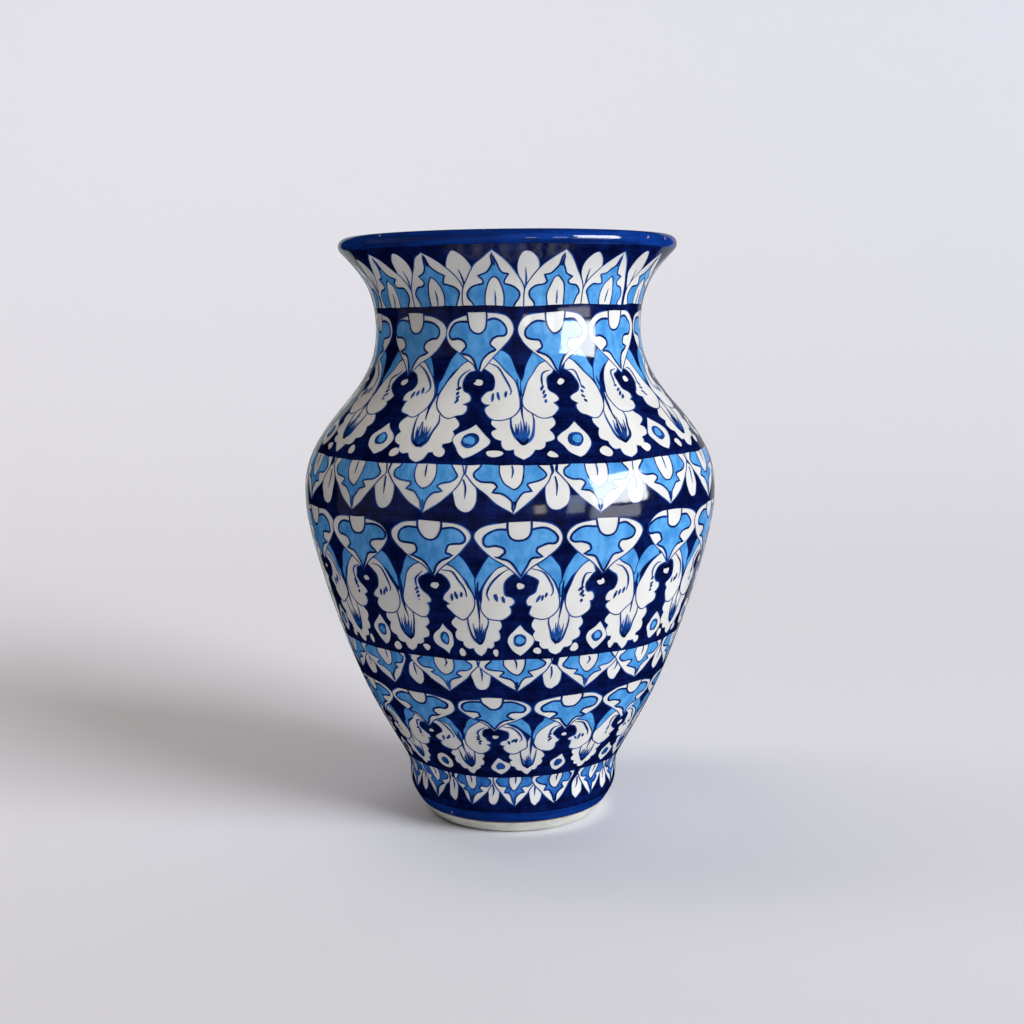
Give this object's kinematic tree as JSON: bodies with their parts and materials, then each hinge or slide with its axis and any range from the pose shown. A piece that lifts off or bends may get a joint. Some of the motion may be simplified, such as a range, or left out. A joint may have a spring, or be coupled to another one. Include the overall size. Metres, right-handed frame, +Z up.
{
  "type": "talavera pottery vase",
  "caption": "Baluster earthenware vase with flared rolled lip, full shoulder and small bare foot, tin-glazed white and painted in cobalt leaf and flower bands.",
  "frame": {"origin": "middle of the foot, on the surface the vase stands on", "axes": "+Z up the vase's axis, from the foot to the lip; the vase is round, and -Y is the side seen from the front"},
  "size_m": [0.212, 0.212, 0.3],
  "materials": {
    "bare_clay": "unglazed cream earthenware, fine and matt",
    "body_clay": "fired terracotta body, hidden under the glaze",
    "white_glaze": "glossy tin-white glaze",
    "cobalt_glaze": "glossy deep cobalt blue",
    "cobalt_paint": "painted dark cobalt, pooled and brushed, under a gloss",
    "sky_blue_paint": "thin cobalt wash, light blue, under a gloss"
  },
  "bodies": {
    "root": {"foot_ring": "bare_clay", "bowl_section": "body_clay", "shoulder_section": "body_clay", "neck_section": "body_clay", "rolled_lip": "body_clay", "white_glaze_outside": "white_glaze", "white_glaze_inside": "white_glaze", "cobalt_glaze_foot": "cobalt_glaze", "cobalt_glaze_lip": "cobalt_glaze"}
  },
  "joints": []
}
